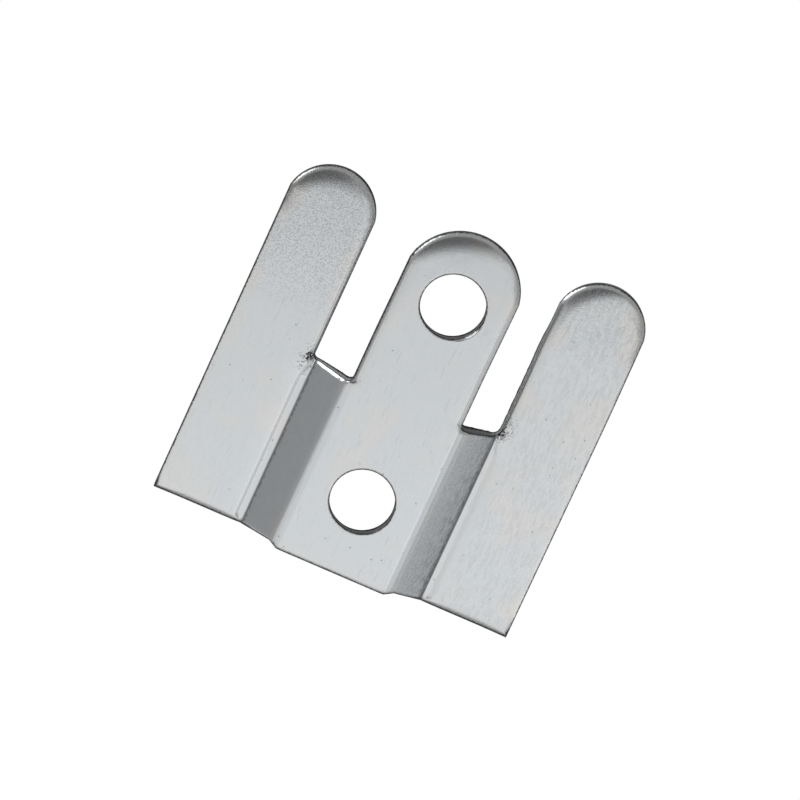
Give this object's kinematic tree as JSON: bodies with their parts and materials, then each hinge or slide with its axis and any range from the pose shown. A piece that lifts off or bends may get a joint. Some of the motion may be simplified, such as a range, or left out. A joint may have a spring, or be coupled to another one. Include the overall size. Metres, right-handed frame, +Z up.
{
  "type": "interlocking picture hanger plate",
  "caption": "Pressed steel flush hanger plate: its centre tongue, with screw holes, lies on the wall, and side wings that stand off from it hook behind those of a matching plate.",
  "frame": {"origin": "on the face of the centre tongue that lies on the wall, halfway between the two screw holes", "axes": "+Z up along the tongues, as screwed to a wall; -Y out of the face that lies on the wall, which is the side pictured; +X across the plate. The wings stand off towards +Y, into the room."},
  "size_m": [0.0382, 0.0044, 0.0369],
  "materials": {
    "zinc_plated_steel": "bright zinc plating, satin, with fine dark pits and faint straw patches"
  },
  "bodies": {
    "root": {"hanger_plate": "zinc_plated_steel"}
  },
  "joints": []
}
